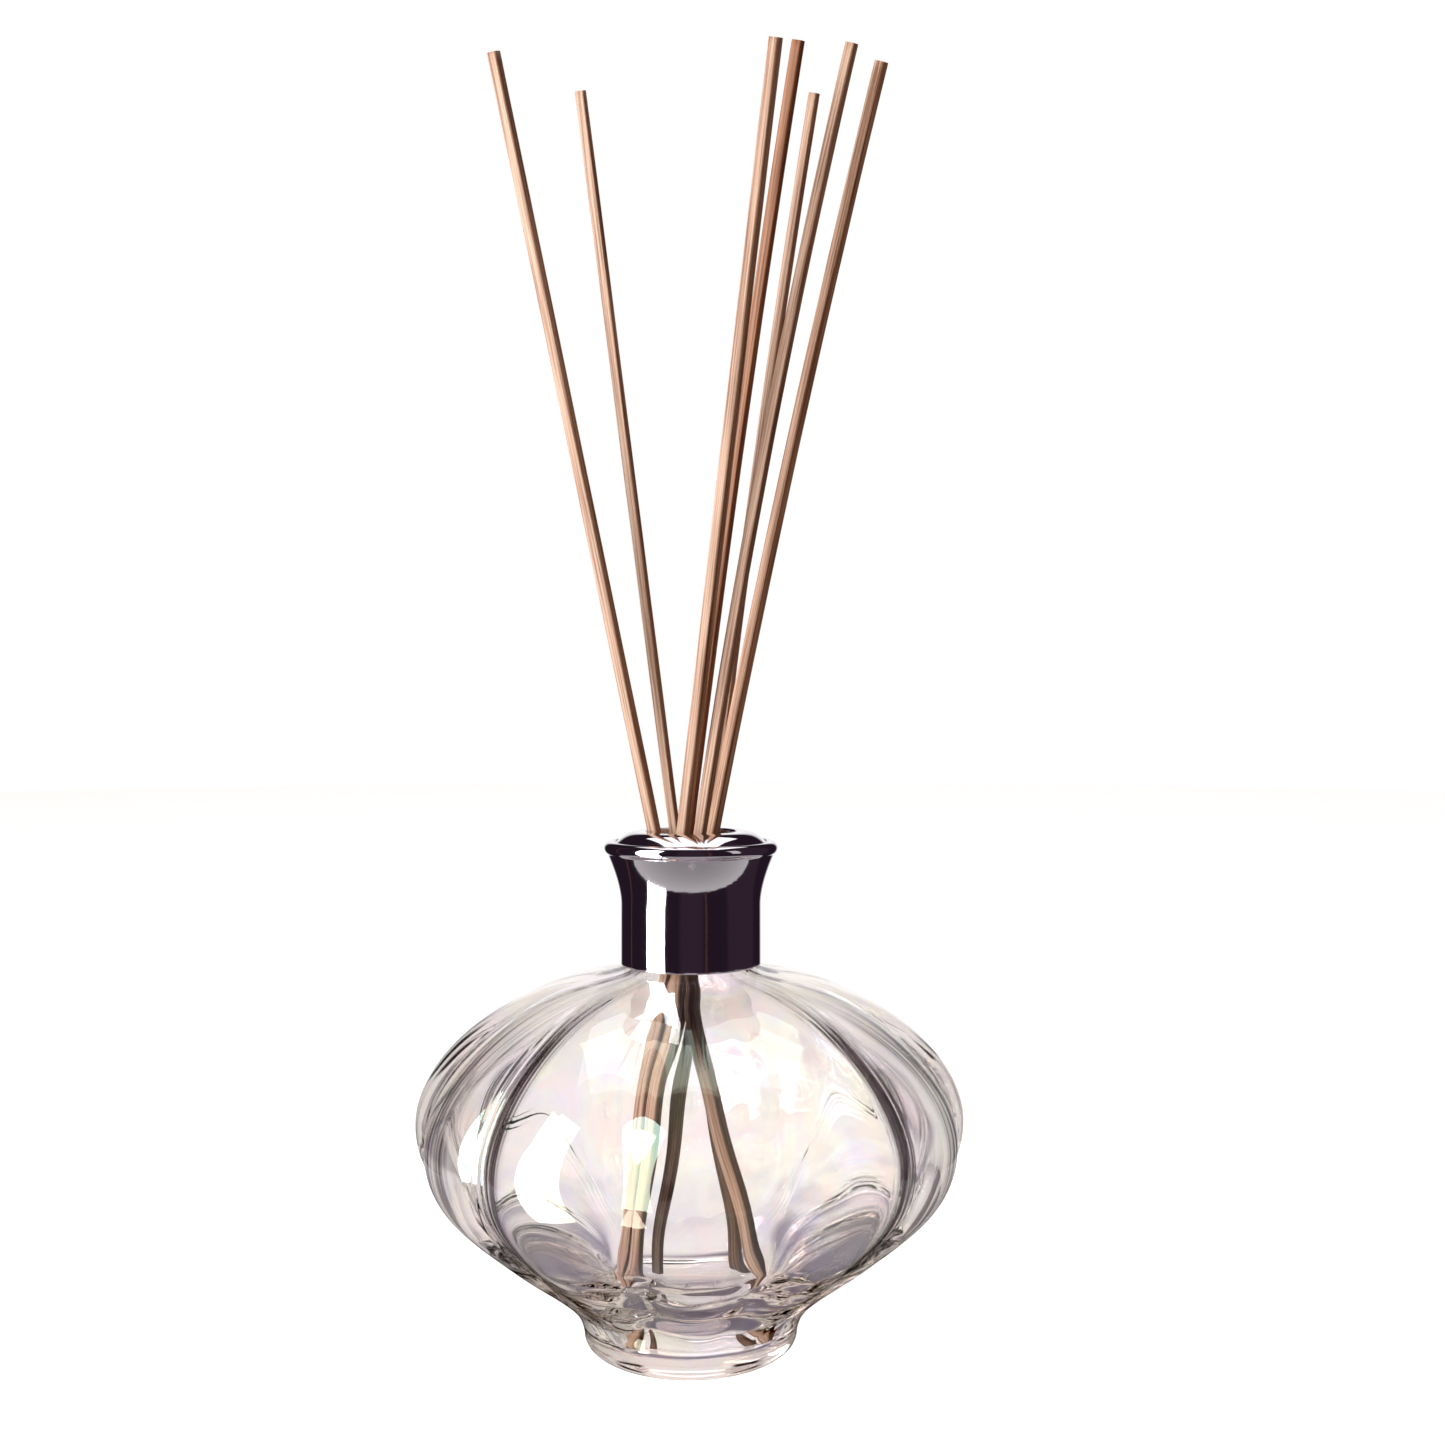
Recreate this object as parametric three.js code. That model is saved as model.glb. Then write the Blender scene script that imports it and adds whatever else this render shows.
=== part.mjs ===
// Fragrance reed diffuser: a fluted glass bottle, a bright metal collar with a rolled lip, and
// seven bamboo reeds that stand in the bottle and lean out through the collar.
// Millimetres, +Z up. The origin is the centre of the bottle's base, and the front faces -Y.
import * as THREE from 'three';

const degrees = THREE.MathUtils.degToRad;

// Clearance that every touching or resting pair keeps.
const GAP = 0.3;

// Bottle: outer sizes, then the wall behind them.
const BODY_R = 63.3;
const EQUATOR_Z = 50.5;
const FOOT_R = 24.6;
const FOOT_EDGE = 2;
const WAIST_R = 44;
const WAIST_Z = 23;
const SHOULDER_R = 25;
const SHOULDER_Z = 83.5;
const NECK_R = 13.6;
const NECK_Z = 88.5;
const LIP_Z = 112.3;
const LIP_ROUND = 1;
const WALL = 3.5;
const NECK_BORE_R = 11.5;
const FLOOR_Z = 4;
const POCKET_R = 18.4;
const POCKET_EDGE = 4;

// Flutes: rounded lobes that meet in narrow grooves, deepest round the equator.
const FLUTES = 12;
const FLUTE_DEPTH = 3;
const FLUTE_TURN = degrees(2);
const INNER_SHARE = 0.8;
const GROOVE_SOFTNESS = 0.02;
const FADE_IN = [4, 34];
const FADE_OUT = [72, 88];

// The hollow in the foot is a softened square, turned away from the front.
const SQUARENESS = 0.065;
const POCKET_TURN = degrees(-31) - FLUTE_TURN;
const POCKET_FADE = [8, 24];

// Collar: a flared sleeve whose upper edge is rolled into a bead, closed by a domed plate.
const COLLAR_R = 16.3;
const COLLAR_BORE_R = 15.5;
const COLLAR_Z = 86.3;
const FLARE_Z = 100;
const BEAD_R = 1.55;
const BEAD_AT = [18.7, 113.2];
const BEAD_START = degrees(-60);
const BEAD_END = degrees(120);
const LEDGE_R = 17.9;
const LEDGE_Z = 113.2;
const PLATE_T = 0.7;
const LAND_R = 12.6;
const LAND_Z = 117;
const HOLE_R = 10.5;
const EYELET_DROP = 2;

// The sleeve that grips the neck inside the collar, and the ring that seals the bottle's lip.
const SLEEVE_Z = COLLAR_Z + 0.6;
const SLEEVE_R = COLLAR_BORE_R - GAP;
const SLEEVE_BORE_R = NECK_R + GAP;
const SEAL_Z = LIP_Z + GAP;
const SEAL_T = 1.2;
const FLANGE_Z = SEAL_Z + SEAL_T + GAP;
const FLANGE_TOP = FLANGE_Z + 0.7;

// Reeds: where the foot stands, where the top ends, the sideways bow, the length, the thickness.
const REED_Z = FLOOR_Z + 0.75;
const REED_STEPS = 10;
const REEDS = [
  { foot: [14.8, -3.7], top: [-46.3, 2.4], bow: 0, length: 300.6, thick: 2.8 },
  { foot: [10.1, 9.8], top: [-26.1, 4], bow: 0, length: 288.2, thick: 2.4 },
  { foot: [-14.5, -2], top: [19.2, -12.9], bow: -0.2, length: 292.5, thick: 2.8 },
  { foot: [-13.4, 6.2], top: [24.9, -0.2], bow: -2.2, length: 298.3, thick: 2.8 },
  { foot: [-6.7, 3.3], top: [29.2, 8.7], bow: -2.7, length: 289.7, thick: 2.4 },
  { foot: [-11.9, -7.9], top: [37, -4.1], bow: -4.9, length: 297.3, thick: 2.7 },
  { foot: [-15.1, 1.5], top: [44.4, 1.3], bow: -2.9, length: 297.5, thick: 2.8 },
];

// Facets.
const BOTTLE_SEGMENTS = FLUTES * 6;
const RING_SEGMENTS = 40;
const CURVE_STEPS = 5;

const finishes = {
  glass: { color: 0xf0e9ea, roughness: 0.02, metalness: 0, transparent: true, opacity: 0.35 },
  chrome: { color: 0xd8d4da, roughness: 0.06, metalness: 1 },
  liner: { color: 0x5b4034, roughness: 0.45, metalness: 0 },
  seal: { color: 0xf4f2ee, roughness: 0.6, metalness: 0 },
  reed: { color: 0xc79a6c, roughness: 0.7, metalness: 0 },
};

const object = new THREE.Group();

function addPart(name, geometry, finish) {
  const mesh = new THREE.Mesh(geometry, new THREE.MeshStandardMaterial(finishes[finish]));
  mesh.name = name;
  object.add(mesh);
  return mesh;
}

// Turns a profile of (radius, height) points about +Z. Its first column lies at the front.
function turned(points, segments) {
  return new THREE.LatheGeometry(points, segments).rotateX(Math.PI / 2);
}

function smoothRise(from, to, value) {
  return THREE.MathUtils.smoothstep(value, from, to);
}

// Outside of the bottle, from the middle of the base up to the top of the lip.
function bottleOutside() {
  const path = new THREE.Path();
  path.moveTo(0, 0);
  path.lineTo(FOOT_R - FOOT_EDGE, 0);
  path.quadraticCurveTo(FOOT_R, 0, FOOT_R, FOOT_EDGE);
  path.bezierCurveTo(FOOT_R + 1, 11, WAIST_R - 8.4, WAIST_Z - 7.2, WAIST_R, WAIST_Z);
  path.bezierCurveTo(WAIST_R + 10.6, WAIST_Z + 9.1, BODY_R, EQUATOR_Z - 12, BODY_R, EQUATOR_Z);
  path.bezierCurveTo(BODY_R, EQUATOR_Z + 13, SHOULDER_R + 22, SHOULDER_Z - 4.4,
    SHOULDER_R, SHOULDER_Z);
  path.bezierCurveTo(SHOULDER_R - 7, SHOULDER_Z + 1.4, NECK_R, NECK_Z - 3.5, NECK_R, NECK_Z);
  path.lineTo(NECK_R, LIP_Z - LIP_ROUND);
  path.quadraticCurveTo(NECK_R, LIP_Z, NECK_R - LIP_ROUND, LIP_Z);
  return path.getPoints(CURVE_STEPS);
}

// Inside of the bottle, from the lip down to the middle of the floor.
function bottleInside() {
  const bodyR = BODY_R - WALL;
  const path = new THREE.Path();
  path.moveTo(NECK_BORE_R + LIP_ROUND, LIP_Z);
  path.quadraticCurveTo(NECK_BORE_R, LIP_Z, NECK_BORE_R, LIP_Z - LIP_ROUND);
  path.lineTo(NECK_BORE_R, NECK_Z - 1.5);
  path.bezierCurveTo(NECK_BORE_R, NECK_Z - 6, SHOULDER_R - 8, SHOULDER_Z - 2.2,
    SHOULDER_R, SHOULDER_Z - 3.9);
  path.bezierCurveTo(SHOULDER_R + 21, SHOULDER_Z - 8.3, bodyR, EQUATOR_Z + 11.5,
    bodyR, EQUATOR_Z);
  path.bezierCurveTo(bodyR, EQUATOR_Z - 9.5, WAIST_R + 8, WAIST_Z + 11, WAIST_R, WAIST_Z + 5);
  path.bezierCurveTo(WAIST_R - 11, WAIST_Z - 3, POCKET_R + 1, 17, POCKET_R,
    FLOOR_Z + POCKET_EDGE);
  path.quadraticCurveTo(POCKET_R, FLOOR_Z, POCKET_R - POCKET_EDGE, FLOOR_Z);
  path.lineTo(0, FLOOR_Z);
  return path.getPoints(CURVE_STEPS);
}

// How far the surface dips at an angle: 0 on the crest of a lobe, 1 in a groove.
function groove(angle) {
  const wave = Math.cos((angle * FLUTES) / 2);
  const floor = Math.sqrt(GROOVE_SOFTNESS);
  const crest = Math.sqrt(1 + GROOVE_SOFTNESS);
  return 1 - (Math.sqrt(wave * wave + GROOVE_SOFTNESS) - floor) / (crest - floor);
}

function fluteDip(angle, z, share) {
  const fade = smoothRise(...FADE_IN, z) * (1 - smoothRise(...FADE_OUT, z));
  return FLUTE_DEPTH * share * fade * groove(angle);
}

function pocketScale(angle, z) {
  const fade = 1 - smoothRise(...POCKET_FADE, z);
  return 1 + SQUARENESS * fade * Math.cos(4 * (angle - POCKET_TURN));
}

function bottleGeometry() {
  const outside = bottleOutside();
  const profile = [...outside, ...bottleInside()];
  const geometry = turned(profile, BOTTLE_SEGMENTS);
  const position = geometry.attributes.position;
  for (let i = 0; i < position.count; i += 1) {
    const inner = i % profile.length >= outside.length;
    const [x, y, z] = [position.getX(i), position.getY(i), position.getZ(i)];
    const radius = Math.hypot(x, y);
    const angle = Math.atan2(x, -y);
    const square = inner ? pocketScale(angle, z) : 1;
    const wanted = radius * square - fluteDip(angle, z, inner ? INNER_SHARE : 1);
    const scale = radius > 1 ? wanted / radius : 1;
    position.setXY(i, x * scale, y * scale);
  }
  return geometry;
}

function addBottle() {
  const bottle = addPart('bottle', bottleGeometry(), 'glass');
  bottle.rotation.z = FLUTE_TURN;
}

// Flared sleeve: up the outside, round the bead, over the ledge and down the bore.
function collarShellGeometry() {
  const [beadR, beadZ] = BEAD_AT;
  const flareR = beadR + BEAD_R * Math.cos(BEAD_START);
  const flareTop = beadZ + BEAD_R * Math.sin(BEAD_START);
  const innerR = LEDGE_R - 1.1;
  const path = new THREE.Path();
  path.moveTo(COLLAR_BORE_R, COLLAR_Z);
  path.lineTo(COLLAR_R - 0.2, COLLAR_Z);
  path.lineTo(COLLAR_R, COLLAR_Z + 0.2);
  path.lineTo(COLLAR_R, FLARE_Z);
  path.bezierCurveTo(COLLAR_R, FLARE_Z + 4.5, flareR - 0.9, flareTop - 2.2, flareR, flareTop);
  path.absarc(beadR, beadZ, BEAD_R, BEAD_START, BEAD_END, false);
  path.lineTo(LEDGE_R, LEDGE_Z);
  path.lineTo(innerR, LEDGE_Z);
  path.lineTo(innerR, flareTop);
  path.bezierCurveTo(innerR - 0.4, flareTop - 3, COLLAR_BORE_R, FLARE_Z + 4,
    COLLAR_BORE_R, FLARE_Z);
  path.lineTo(COLLAR_BORE_R, COLLAR_Z);
  return turned(path.getPoints(CURVE_STEPS), RING_SEGMENTS);
}

// Domed plate: a flat land round the hole, a slope out to the bead and an eyelet turned down.
function collarPlateGeometry() {
  const rimR = LEDGE_R - GAP;
  const rimZ = LEDGE_Z + GAP;
  const path = new THREE.Path();
  path.moveTo(HOLE_R, LAND_Z - EYELET_DROP);
  path.lineTo(HOLE_R + PLATE_T, LAND_Z - EYELET_DROP);
  path.lineTo(HOLE_R + PLATE_T, LAND_Z - PLATE_T);
  path.lineTo(LAND_R, LAND_Z - PLATE_T);
  path.quadraticCurveTo(LAND_R + 2.4, LAND_Z - PLATE_T, rimR, rimZ);
  path.lineTo(rimR, rimZ + PLATE_T);
  path.quadraticCurveTo(LAND_R + 2.6, LAND_Z, LAND_R, LAND_Z);
  path.lineTo(HOLE_R + 0.5, LAND_Z);
  path.lineTo(HOLE_R, LAND_Z - 0.5);
  path.lineTo(HOLE_R, LAND_Z - EYELET_DROP);
  return turned(path.getPoints(CURVE_STEPS), RING_SEGMENTS);
}

// Sleeve with an inward flange that rests over the seal.
function neckSleeveGeometry() {
  const path = new THREE.Path();
  path.moveTo(SLEEVE_BORE_R, SLEEVE_Z + 0.8);
  path.lineTo(SLEEVE_BORE_R + 0.5, SLEEVE_Z);
  path.lineTo(SLEEVE_R, SLEEVE_Z);
  path.lineTo(SLEEVE_R, FLANGE_TOP - 1);
  path.lineTo(SLEEVE_R - 1, FLANGE_TOP);
  path.lineTo(NECK_BORE_R, FLANGE_TOP);
  path.lineTo(NECK_BORE_R, FLANGE_Z);
  path.lineTo(SLEEVE_BORE_R, FLANGE_Z);
  path.lineTo(SLEEVE_BORE_R, SLEEVE_Z + 0.8);
  return turned(path.getPoints(), RING_SEGMENTS);
}

function lipSealGeometry() {
  const path = new THREE.Path();
  path.moveTo(NECK_BORE_R, SEAL_Z);
  path.lineTo(NECK_R, SEAL_Z);
  path.lineTo(NECK_R, SEAL_Z + SEAL_T);
  path.lineTo(NECK_BORE_R, SEAL_Z + SEAL_T);
  path.lineTo(NECK_BORE_R, SEAL_Z);
  return turned(path.getPoints(), RING_SEGMENTS);
}

function addCollar() {
  addPart('collar_shell', collarShellGeometry(), 'chrome');
  addPart('collar_top_plate', collarPlateGeometry(), 'chrome');
  addPart('neck_sleeve', neckSleeveGeometry(), 'liner');
  addPart('lip_seal', lipSealGeometry(), 'seal');
}

// A square split-bamboo section whose corners are cut off.
function reedSection(thick) {
  const half = thick / 2;
  const flat = half * 0.62;
  const corners = [[half, flat], [flat, half], [-flat, half], [-half, flat]];
  const points = [...corners, ...corners.map(([x, y]) => [-x, -y])];
  return new THREE.Shape(points.map(([x, y]) => new THREE.Vector2(x, y)));
}

// Centre line of a reed: from its foot to its top, bowed sideways by `bow` at mid-length.
function reedLine({ foot, top, bow, length }) {
  const reach = Math.hypot(top[0] - foot[0], top[1] - foot[1]);
  const rise = Math.sqrt(length * length - reach * reach);
  const low = new THREE.Vector3(foot[0], foot[1], REED_Z);
  const high = new THREE.Vector3(top[0], top[1], REED_Z + rise);
  const middle = low.clone().lerp(high, 0.5);
  middle.x += 2 * bow;
  return new THREE.QuadraticBezierCurve3(low, middle, high);
}

function addReeds() {
  REEDS.forEach((reed, index) => {
    const settings = { steps: REED_STEPS, bevelEnabled: false, extrudePath: reedLine(reed) };
    const geometry = new THREE.ExtrudeGeometry(reedSection(reed.thick), settings);
    addPart(`reed_${index + 1}`, geometry, 'reed');
  });
}

addBottle();
addCollar();
addReeds();

export default object;
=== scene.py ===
"""Looks of a fragrance reed diffuser: a fluted glass bottle, a chrome collar and bamboo reeds.

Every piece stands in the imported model's own frame: +Z up, origin in the middle of the bottle's
base, front towards -Y. The object's lengths are written in millimetres and turned into metres as
each mesh is made. The studio's lengths are in metres.
"""
import math

import bpy
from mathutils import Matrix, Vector, noise


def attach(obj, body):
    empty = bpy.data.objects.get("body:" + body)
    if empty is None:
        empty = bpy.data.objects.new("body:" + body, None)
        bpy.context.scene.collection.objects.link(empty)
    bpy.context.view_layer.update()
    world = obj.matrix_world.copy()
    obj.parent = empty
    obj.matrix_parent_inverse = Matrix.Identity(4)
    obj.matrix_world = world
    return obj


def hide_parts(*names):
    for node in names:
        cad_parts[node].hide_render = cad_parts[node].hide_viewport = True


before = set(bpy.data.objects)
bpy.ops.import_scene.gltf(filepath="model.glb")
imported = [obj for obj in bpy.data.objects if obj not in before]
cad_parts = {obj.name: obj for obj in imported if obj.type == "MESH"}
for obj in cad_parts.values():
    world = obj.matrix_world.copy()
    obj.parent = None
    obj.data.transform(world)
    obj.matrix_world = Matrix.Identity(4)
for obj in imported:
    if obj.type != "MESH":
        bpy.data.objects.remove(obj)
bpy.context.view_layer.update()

MM = 0.001

# Bottle: the same driving sizes as the CAD part.
BODY_R = 63.3
EQUATOR_Z = 50.5
FOOT_R = 24.6
FOOT_EDGE = 2.0
WAIST_R = 44.0
WAIST_Z = 23.0
SHOULDER_R = 25.0
SHOULDER_Z = 83.5
NECK_R = 13.6
NECK_Z = 88.5
LIP_Z = 112.3
LIP_ROUND = 1.0
WALL = 3.5
NECK_BORE_R = 11.5
FLOOR_Z = 4.0
POCKET_R = 18.4
POCKET_EDGE = 4.0

# Flutes: their shape, how far the inside follows them front and back and on the flanks, and how
# soft the grooves are on the flanks and in front.
FLUTES = 12
FLUTE_DEPTH = 3.0
FLUTE_TURN = math.radians(2)
INNER_SHARE = 0.8
FLANK_SHARE = 0.45
GROOVE_SOFTNESS = 0.02
FRONT_SOFTNESS = 0.30
FRONT_POWER = 6
BACK_POWER = 2
FADE_IN = (4, 34)
FADE_OUT = (72, 88)

# The squarish pocket in the foot, the ribs beside the grooves, and the unevenness of the inside.
SQUARENESS = 0.065
POCKET_TURN = math.radians(-31)
POCKET_FADE = (8, 24)
RIPPLE_HEIGHT = 0.15
RIPPLE_LENGTH = 2.0
RIPPLE_REACH = (2.0, 4.0)
RIPPLE_FLANK = (0.35, 0.65)
WAVE_HEIGHT = 0.3
WAVE_LENGTH = 15.0
WAVE_SQUEEZE = 0.7
CRUMPLE_HEIGHT = 1.1
CRUMPLE_LENGTH = 6.5
CRUMPLE_SQUEEZE = 1.6
CRUMPLE_HEIGHTS = (19, 24, 28, 35)

# Bands of painted shade down the front flanks, standing in for the glass's dark refractions:
# middles in degrees from the front, and half widths. The core is the share of the half width that
# is fully dark.
PAINTED_SHADE_BANDS = [(-60, 3.6), (-40.5, 3.4), (48.5, 3.8), (69, 4.6)]
PAINTED_SHADE_CORE = 0.45

# Collar, sleeve and seal.
GAP = 0.3
COLLAR_R = 16.3
COLLAR_BORE_R = 15.5
COLLAR_Z = 86.3
FLARE_Z = 100.0
BEAD_R = 1.55
BEAD_AT = (18.7, 113.2)
BEAD_START = -60
BEAD_END = 120
COLLAR_EDGE = 0.3
COLLAR_CHAMFER = 0.1
LEDGE_R = 17.9
LEDGE_Z = 113.2
LEDGE_WIDTH = 1.1
PLATE_T = 0.7
LAND_R = 12.6
LAND_Z = 117.0
HOLE_R = 10.5
EYELET_DROP = 2.0
EYELET_ROUND = 0.6
SLEEVE_Z = COLLAR_Z + 0.6
SLEEVE_R = COLLAR_BORE_R - GAP
SLEEVE_BORE_R = NECK_R + GAP
SEAL_Z = LIP_Z + GAP
SEAL_T = 1.2
FLANGE_Z = SEAL_Z + SEAL_T + GAP
FLANGE_TOP = FLANGE_Z + 0.7
FLANGE_EDGE = 0.3
SLEEVE_LEAD_IN = 0.8
SLEEVE_EDGE = 0.2
SLEEVE_ROUND = 1.0
SLEEVE_GROOVES = 30
SLEEVE_GROOVE_DEPTH = 0.3

# Reeds: foot and top in plan, sideways bow, length and thickness.
REED_Z = FLOOR_Z + 0.75
REEDS = [
    {"foot": (14.8, -3.7), "top": (-46.3, 2.4), "bow": 0, "length": 300.6, "thick": 2.8},
    {"foot": (10.1, 9.8), "top": (-26.1, 4), "bow": 0, "length": 288.2, "thick": 2.4},
    {"foot": (-14.5, -2), "top": (19.2, -12.9), "bow": -0.2, "length": 292.5, "thick": 2.8},
    {"foot": (-13.4, 6.2), "top": (24.9, -0.2), "bow": -2.2, "length": 298.3, "thick": 2.8},
    {"foot": (-6.7, 3.3), "top": (29.2, 8.7), "bow": -2.7, "length": 289.7, "thick": 2.4},
    {"foot": (-11.9, -7.9), "top": (37, -4.1), "bow": -4.9, "length": 297.3, "thick": 2.7},
    {"foot": (-15.1, 1.5), "top": (44.4, 1.3), "bow": -2.9, "length": 297.5, "thick": 2.8},
]

# For each reed, how far its section is turned, in degrees, and the tone of its bamboo.
PALE = (0.83, 0.80, 0.78)
TAWNY = (0.56, 0.37, 0.24)
BROWN = (1.08, 1.0, 0.94)
REED_LOOKS = [(61, PALE), (68, PALE), (58, PALE), (66, TAWNY), (60, PALE), (62, PALE), (52, BROWN)]

# A reed's section and ends, and the unevenness of its sides. The shifts tell the reeds apart.
REED_STEPS = 120
REED_CORNER_POINTS = 4
REED_SIDE_POINTS = 3
REED_ROUGH = 0.035
ROUGH_ACROSS = 1.5
ROUGH_ALONG = 14
ROUGH_SHIFT = 7.3
GRAIN_SHIFT = 31.7
REED_CORNER = 0.42
REED_TRIM = 0.93
END_SLANT = 0.4
END_SHRINK = 0.96
END_INSET = 0.06

# Mesh fineness.
BOTTLE_SEGMENTS = FLUTES * 40
GROOVE_CROWDING = 0.65
RING_SEGMENTS = 144


# ---------------------------------------------------------------- curves

def bezier(p0, p1, p2, p3, steps):
    """Points of a cubic curve, both ends included."""
    ends = (p0, p1, p2, p3)
    points = []
    for i in range(steps + 1):
        t = i / steps
        s = 1 - t
        weights = (s ** 3, 3 * s * s * t, 3 * s * t * t, t ** 3)
        points.append(tuple(sum(w * p[k] for w, p in zip(weights, ends)) for k in (0, 1)))
    return points


def bend(p0, p1, p2, steps):
    """Points of a quadratic curve, both ends included."""
    third = [tuple(a + (b - a) * 2 / 3 for a, b in zip(end, p1)) for end in (p0, p2)]
    return bezier(p0, third[0], third[1], p2, steps)


def line(p0, p1, steps):
    return [tuple(a + (b - a) * i / steps for a, b in zip(p0, p1)) for i in range(steps + 1)]


def arc(centre, radius, start, end, steps):
    """Points of an arc between two angles in degrees."""
    points = []
    for i in range(steps + 1):
        angle = math.radians(start + (end - start) * i / steps)
        points.append((centre[0] + radius * math.cos(angle), centre[1] + radius * math.sin(angle)))
    return points


def joined(*stretches):
    """One path from stretches that may share their end points."""
    path = []
    for stretch in stretches:
        for point in stretch:
            if not path or math.dist(point, path[-1]) > 1e-4:
                path.append(point)
    return path


def smooth_rise(start, end, value):
    """0 up to start, 1 from end on, and a smooth slope between them."""
    t = min(1, max(0, (value - start) / (end - start)))
    return t * t * (3 - 2 * t)


# ---------------------------------------------------------------- meshes

def new_piece(name, points, faces, material, body):
    """A smooth mesh object, given in millimetres, that rides on a body and has a finish slot."""
    mesh = bpy.data.meshes.new(name)
    mesh.from_pydata([tuple(c * MM for c in p) for p in points], [], faces)
    mesh.validate()
    mesh.shade_smooth()
    mesh.materials.append(material)
    piece = bpy.data.objects.new(name, mesh)
    bpy.context.scene.collection.objects.link(piece)
    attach(piece, body)
    return piece


def ring_faces(rings, columns, closed):
    """Quads between neighbouring rings of points, and back to the first ring if closed."""
    faces = []
    for i in range(rings if closed else rings - 1):
        low = i * columns
        high = (i + 1) % rings * columns
        for j in range(columns):
            k = (j + 1) % columns
            faces.append((low + j, low + k, high + k, high + j))
    return faces


def turned(profile, segments, radius_at=None):
    """A closed (radius, height) profile turned about +Z, as points and faces."""
    points = []
    for radius, height in profile:
        for j in range(segments):
            angle = 2 * math.pi * j / segments
            r = radius_at(radius, height, angle) if radius_at else radius
            points.append((r * math.sin(angle), -r * math.cos(angle), height))
    return points, ring_faces(len(profile), segments, closed=True)


# ---------------------------------------------------------------- bottle

def bottle_outside():
    """Outside of the bottle from the middle of the base to the top of the lip."""
    side = bezier((FOOT_R, FOOT_EDGE), (FOOT_R + 1, 11), (WAIST_R - 8.4, WAIST_Z - 7.2),
                  (WAIST_R, WAIST_Z), 22)
    belly = bezier((WAIST_R, WAIST_Z), (WAIST_R + 10.6, WAIST_Z + 9.1), (BODY_R, EQUATOR_Z - 12),
                   (BODY_R, EQUATOR_Z), 20)
    shoulder = bezier((BODY_R, EQUATOR_Z), (BODY_R, EQUATOR_Z + 13),
                      (SHOULDER_R + 22, SHOULDER_Z - 4.4), (SHOULDER_R, SHOULDER_Z), 26)
    throat = bezier((SHOULDER_R, SHOULDER_Z), (SHOULDER_R - 7, SHOULDER_Z + 1.4),
                    (NECK_R, NECK_Z - 3.5), (NECK_R, NECK_Z), 10)
    return joined(
        line((2, 0), (FOOT_R - FOOT_EDGE, 0), 4),
        bend((FOOT_R - FOOT_EDGE, 0), (FOOT_R, 0), (FOOT_R, FOOT_EDGE), 5),
        side, belly, shoulder, throat,
        line((NECK_R, NECK_Z), (NECK_R, LIP_Z - LIP_ROUND), 4),
        bend((NECK_R, LIP_Z - LIP_ROUND), (NECK_R, LIP_Z), (NECK_R - LIP_ROUND, LIP_Z), 4))


def bottle_inside():
    """Inside of the bottle from the lip down to the middle of the floor."""
    body_r = BODY_R - WALL
    bore_low = NECK_Z - 1.5
    throat = bezier((NECK_BORE_R, bore_low), (NECK_BORE_R, NECK_Z - 6),
                    (SHOULDER_R - 8, SHOULDER_Z - 2.2), (SHOULDER_R, SHOULDER_Z - 3.9), 9)
    shoulder = bezier((SHOULDER_R, SHOULDER_Z - 3.9), (SHOULDER_R + 21, SHOULDER_Z - 8.3),
                      (body_r, EQUATOR_Z + 11.5), (body_r, EQUATOR_Z), 24)
    belly = bezier((body_r, EQUATOR_Z), (body_r, EQUATOR_Z - 9.5), (WAIST_R + 8, WAIST_Z + 11),
                   (WAIST_R, WAIST_Z + 5), 18)
    pocket = bezier((WAIST_R, WAIST_Z + 5), (WAIST_R - 11, WAIST_Z - 3), (POCKET_R + 1, 17),
                    (POCKET_R, FLOOR_Z + POCKET_EDGE), 20)
    return joined(
        bend((NECK_BORE_R + LIP_ROUND, LIP_Z), (NECK_BORE_R, LIP_Z),
             (NECK_BORE_R, LIP_Z - LIP_ROUND), 4),
        line((NECK_BORE_R, LIP_Z - LIP_ROUND), (NECK_BORE_R, bore_low), 4),
        throat, shoulder, belly, pocket,
        bend((POCKET_R, FLOOR_Z + POCKET_EDGE), (POCKET_R, FLOOR_Z),
             (POCKET_R - POCKET_EDGE, FLOOR_Z), 6),
        line((POCKET_R - POCKET_EDGE, FLOOR_Z), (2, FLOOR_Z), 4))


def groove(angle):
    """0 on the crest of a lobe, 1 in the groove beside it; grooves are softest front and back."""
    facing = math.cos(angle)
    share = facing ** FRONT_POWER if facing > 0 else facing ** BACK_POWER
    softness = GROOVE_SOFTNESS + (FRONT_SOFTNESS - GROOVE_SOFTNESS) * share
    wave = math.cos(angle * FLUTES / 2)
    low = math.sqrt(softness)
    high = math.sqrt(1 + softness)
    return 1 - (math.sqrt(wave * wave + softness) - low) / (high - low)


def flute_fade(z):
    return smooth_rise(*FADE_IN, z) * (1 - smooth_rise(*FADE_OUT, z))


def ripple(angle, radius):
    """Fine ribs along the grooves on the two flanks of the bottle, as a blow mould leaves them."""
    pitch = 2 * math.pi / FLUTES
    along = (angle % pitch - pitch / 2) * radius
    ribs = math.asin(math.sin(2 * math.pi * along / RIPPLE_LENGTH)) / (math.pi / 2)
    flank = smooth_rise(*RIPPLE_FLANK, abs(math.sin(angle)))
    return RIPPLE_HEIGHT * flank * ribs * (1 - smooth_rise(*RIPPLE_REACH, abs(along)))


def painted_shade_band(angle, radius, z):
    """How dark the painted shade is, 0 to 1, in the bands that run down the front flanks."""
    darkest = 0
    for middle, half in PAINTED_SHADE_BANDS:
        away = abs(math.remainder(angle - math.radians(middle), 2 * math.pi)) * radius
        darkest = max(darkest, 1 - smooth_rise(half * PAINTED_SHADE_CORE, half, away))
    return darkest * flute_fade(z)


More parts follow.
